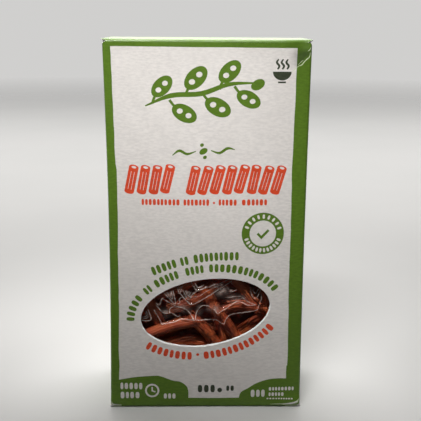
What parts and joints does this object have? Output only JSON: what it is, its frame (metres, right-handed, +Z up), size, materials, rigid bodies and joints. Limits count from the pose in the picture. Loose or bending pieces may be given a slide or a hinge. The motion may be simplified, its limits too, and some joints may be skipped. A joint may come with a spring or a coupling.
{
  "type": "windowed carton of short ridged pasta tubes",
  "caption": "Upright printed paperboard carton with an oval window, through which a crinkled clear inner bag of short ridged red lentil pasta tubes shows.",
  "frame": {"origin": "middle of the carton's footprint, on the surface that it stands on", "axes": "+Z up the carton, +Y from the front panel with the window towards the back panel, +X to the right as seen from the front"},
  "size_m": [0.096, 0.051, 0.181],
  "materials": {
    "printed_board": "satin",
    "pasta": "satin",
    "bag_film": "gloss"
  },
  "bodies": {
    "root": {"carton": "printed_board", "pasta_bag": "pasta"}
  },
  "joints": []
}
